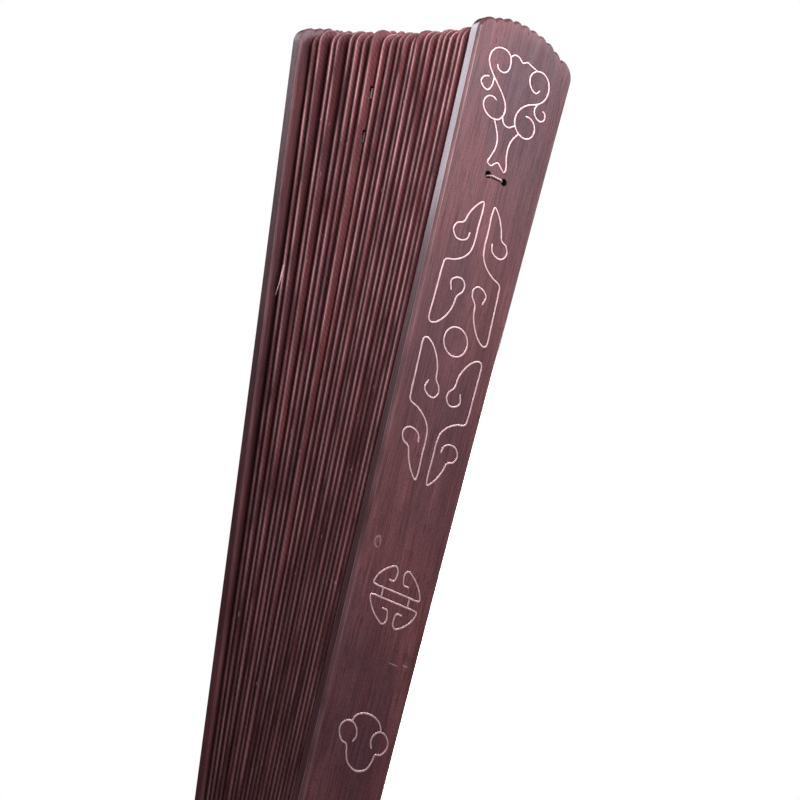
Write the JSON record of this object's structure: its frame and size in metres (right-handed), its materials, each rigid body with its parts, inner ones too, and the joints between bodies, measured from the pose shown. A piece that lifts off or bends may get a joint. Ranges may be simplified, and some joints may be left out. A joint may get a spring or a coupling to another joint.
{
  "type": "folding fan",
  "caption": "Wooden folding fan of overlapping leaves on one rivet, nearly shut, with thick guards, scalloped tops and wire inlay on the front guard.",
  "frame": {"origin": "centre of the rivet head's flat face, in the plane of the rear guard's outer face", "axes": "+Z along the front guard from the rivet to its top, +Y along the rivet out of the rear guard, +X the way the fan opens"},
  "size_m": [0.0441, 0.0453, 0.2185],
  "materials": {
    "guard_wood": "dark reddish brown hardwood, oiled to a satin sheen",
    "leaf_wood": "dark reddish brown hardwood, planed thin, satin",
    "silk_ribbon": "narrow pale pink silk ribbon",
    "silk_thread": "twisted pale pink silk thread",
    "silver_wire": "fine silver wire, rubbed flush",
    "brass": "aged brass, satin"
  },
  "bodies": {
    "first_leaf": {"leaf_01": "leaf_wood", "ribbon_01": "silk_ribbon", "rivet": "brass", "rivet_washer": "brass"},
    "rear_guard": {"rear_guard": "guard_wood", "thread_rear": "silk_thread"},
    "leaf_02": {"leaf_02": "leaf_wood", "ribbon_02": "silk_ribbon"},
    "leaf_03": {"leaf_03": "leaf_wood", "ribbon_03": "silk_ribbon"},
    "leaf_04": {"leaf_04": "leaf_wood", "ribbon_04": "silk_ribbon"},
    "leaf_05": {"leaf_05": "leaf_wood", "ribbon_05": "silk_ribbon"},
    "leaf_06": {"leaf_06": "leaf_wood", "ribbon_06": "silk_ribbon"},
    "leaf_07": {"leaf_07": "leaf_wood", "ribbon_07": "silk_ribbon"},
    "leaf_08": {"leaf_08": "leaf_wood", "ribbon_08": "silk_ribbon"},
    "leaf_09": {"leaf_09": "leaf_wood", "ribbon_09": "silk_ribbon"},
    "leaf_10": {"leaf_10": "leaf_wood", "ribbon_10": "silk_ribbon"},
    "leaf_11": {"leaf_11": "leaf_wood", "ribbon_11": "silk_ribbon"},
    "leaf_12": {"leaf_12": "leaf_wood", "ribbon_12": "silk_ribbon"},
    "leaf_13": {"leaf_13": "leaf_wood", "ribbon_13": "silk_ribbon"},
    "leaf_14": {"leaf_14": "leaf_wood", "ribbon_14": "silk_ribbon"},
    "leaf_15": {"leaf_15": "leaf_wood", "ribbon_15": "silk_ribbon"},
    "leaf_16": {"leaf_16": "leaf_wood", "ribbon_16": "silk_ribbon"},
    "leaf_17": {"leaf_17": "leaf_wood", "ribbon_17": "silk_ribbon"},
    "leaf_18": {"leaf_18": "leaf_wood", "ribbon_18": "silk_ribbon"},
    "leaf_19": {"leaf_19": "leaf_wood", "ribbon_19": "silk_ribbon"},
    "leaf_20": {"leaf_20": "leaf_wood", "ribbon_20": "silk_ribbon"},
    "leaf_21": {"leaf_21": "leaf_wood", "ribbon_21": "silk_ribbon"},
    "front_guard": {"front_guard": "guard_wood", "thread_front": "silk_thread", "inlay_cloud_scroll": "silver_wire", "inlay_scroll_upper_left": "silver_wire", "inlay_scroll_upper_right": "silver_wire", "inlay_scroll_lower_left": "silver_wire", "inlay_scroll_lower_right": "silver_wire", "inlay_ring": "silver_wire", "inlay_medallion": "silver_wire", "inlay_cloud_head": "silver_wire"}
  },
  "joints": [
    {"name": "front_guard_hinge", "type": "hinge", "parent": "first_leaf", "child": "front_guard", "pos_m": [0, 0, 0], "axis": [0, 1, 0], "range_deg": [-4.2, 114.87]},
    {"name": "rear_guard_hinge", "type": "hinge", "parent": "first_leaf", "child": "rear_guard", "pos_m": [0, 0, 0], "axis": [0, 1, 0], "range_deg": [-4.97, 0.7]},
    {"name": "leaf_02_hinge", "type": "hinge", "parent": "first_leaf", "child": "leaf_02", "pos_m": [0, 0, 0], "axis": [0, 1, 0], "range_deg": [-0.22, 5.54]},
    {"name": "leaf_03_hinge", "type": "hinge", "parent": "first_leaf", "child": "leaf_03", "pos_m": [0, 0, 0], "axis": [0, 1, 0], "range_deg": [-0.41, 10.76]},
    {"name": "leaf_04_hinge", "type": "hinge", "parent": "first_leaf", "child": "leaf_04", "pos_m": [0, 0, 0], "axis": [0, 1, 0], "range_deg": [-0.62, 16.33]},
    {"name": "leaf_05_hinge", "type": "hinge", "parent": "first_leaf", "child": "leaf_05", "pos_m": [0, 0, 0], "axis": [0, 1, 0], "range_deg": [-0.81, 21.5]},
    {"name": "leaf_06_hinge", "type": "hinge", "parent": "first_leaf", "child": "leaf_06", "pos_m": [0, 0, 0], "axis": [0, 1, 0], "range_deg": [-1.01, 27.02]},
    {"name": "leaf_07_hinge", "type": "hinge", "parent": "first_leaf", "child": "leaf_07", "pos_m": [0, 0, 0], "axis": [0, 1, 0], "range_deg": [-1.21, 32.44]},
    {"name": "leaf_08_hinge", "type": "hinge", "parent": "first_leaf", "child": "leaf_08", "pos_m": [0, 0, 0], "axis": [0, 1, 0], "range_deg": [-1.41, 37.96]},
    {"name": "leaf_09_hinge", "type": "hinge", "parent": "first_leaf", "child": "leaf_09", "pos_m": [0, 0, 0], "axis": [0, 1, 0], "range_deg": [-1.59, 43.03]},
    {"name": "leaf_10_hinge", "type": "hinge", "parent": "first_leaf", "child": "leaf_10", "pos_m": [0, 0, 0], "axis": [0, 1, 0], "range_deg": [-1.79, 48.55]},
    {"name": "leaf_11_hinge", "type": "hinge", "parent": "first_leaf", "child": "leaf_11", "pos_m": [0, 0, 0], "axis": [0, 1, 0], "range_deg": [-1.99, 53.92]},
    {"name": "leaf_12_hinge", "type": "hinge", "parent": "first_leaf", "child": "leaf_12", "pos_m": [0, 0, 0], "axis": [0, 1, 0], "range_deg": [-2.2, 59.57]},
    {"name": "leaf_13_hinge", "type": "hinge", "parent": "first_leaf", "child": "leaf_13", "pos_m": [0, 0, 0], "axis": [0, 1, 0], "range_deg": [-2.4, 65.01]},
    {"name": "leaf_14_hinge", "type": "hinge", "parent": "first_leaf", "child": "leaf_14", "pos_m": [0, 0, 0], "axis": [0, 1, 0], "range_deg": [-2.6, 70.65]},
    {"name": "leaf_15_hinge", "type": "hinge", "parent": "first_leaf", "child": "leaf_15", "pos_m": [0, 0, 0], "axis": [0, 1, 0], "range_deg": [-2.81, 76.2]},
    {"name": "leaf_16_hinge", "type": "hinge", "parent": "first_leaf", "child": "leaf_16", "pos_m": [0, 0, 0], "axis": [0, 1, 0], "range_deg": [-3.01, 81.72]},
    {"name": "leaf_17_hinge", "type": "hinge", "parent": "first_leaf", "child": "leaf_17", "pos_m": [0, 0, 0], "axis": [0, 1, 0], "range_deg": [-3.21, 87.14]},
    {"name": "leaf_18_hinge", "type": "hinge", "parent": "first_leaf", "child": "leaf_18", "pos_m": [0, 0, 0], "axis": [0, 1, 0], "range_deg": [-3.41, 92.79]},
    {"name": "leaf_19_hinge", "type": "hinge", "parent": "first_leaf", "child": "leaf_19", "pos_m": [0, 0, 0], "axis": [0, 1, 0], "range_deg": [-3.61, 98.3]},
    {"name": "leaf_20_hinge", "type": "hinge", "parent": "first_leaf", "child": "leaf_20", "pos_m": [0, 0, 0], "axis": [0, 1, 0], "range_deg": [-3.82, 103.89]},
    {"name": "leaf_21_hinge", "type": "hinge", "parent": "first_leaf", "child": "leaf_21", "pos_m": [0, 0, 0], "axis": [0, 1, 0], "range_deg": [-4.02, 109.46]}
  ],
  "couplings": [
    {"joint": "leaf_02_hinge", "follows": "front_guard_hinge", "ratio": 0.048054},
    {"joint": "leaf_03_hinge", "follows": "front_guard_hinge", "ratio": 0.093497},
    {"joint": "leaf_04_hinge", "follows": "front_guard_hinge", "ratio": 0.14199},
    {"joint": "leaf_05_hinge", "follows": "front_guard_hinge", "ratio": 0.18699},
    {"joint": "leaf_06_hinge", "follows": "front_guard_hinge", "ratio": 0.23505},
    {"joint": "leaf_07_hinge", "follows": "front_guard_hinge", "ratio": 0.28223},
    {"joint": "leaf_08_hinge", "follows": "front_guard_hinge", "ratio": 0.33029},
    {"joint": "leaf_09_hinge", "follows": "front_guard_hinge", "ratio": 0.37442},
    {"joint": "leaf_10_hinge", "follows": "front_guard_hinge", "ratio": 0.42248},
    {"joint": "leaf_11_hinge", "follows": "front_guard_hinge", "ratio": 0.46923},
    {"joint": "leaf_12_hinge", "follows": "front_guard_hinge", "ratio": 0.51841},
    {"joint": "leaf_13_hinge", "follows": "front_guard_hinge", "ratio": 0.56577},
    {"joint": "leaf_14_hinge", "follows": "front_guard_hinge", "ratio": 0.61487},
    {"joint": "leaf_15_hinge", "follows": "front_guard_hinge", "ratio": 0.66318},
    {"joint": "leaf_16_hinge", "follows": "front_guard_hinge", "ratio": 0.71124},
    {"joint": "leaf_17_hinge", "follows": "front_guard_hinge", "ratio": 0.75842},
    {"joint": "leaf_18_hinge", "follows": "front_guard_hinge", "ratio": 0.80761},
    {"joint": "leaf_19_hinge", "follows": "front_guard_hinge", "ratio": 0.85558},
    {"joint": "leaf_20_hinge", "follows": "front_guard_hinge", "ratio": 0.90424},
    {"joint": "leaf_21_hinge", "follows": "front_guard_hinge", "ratio": 0.95273}
  ]
}
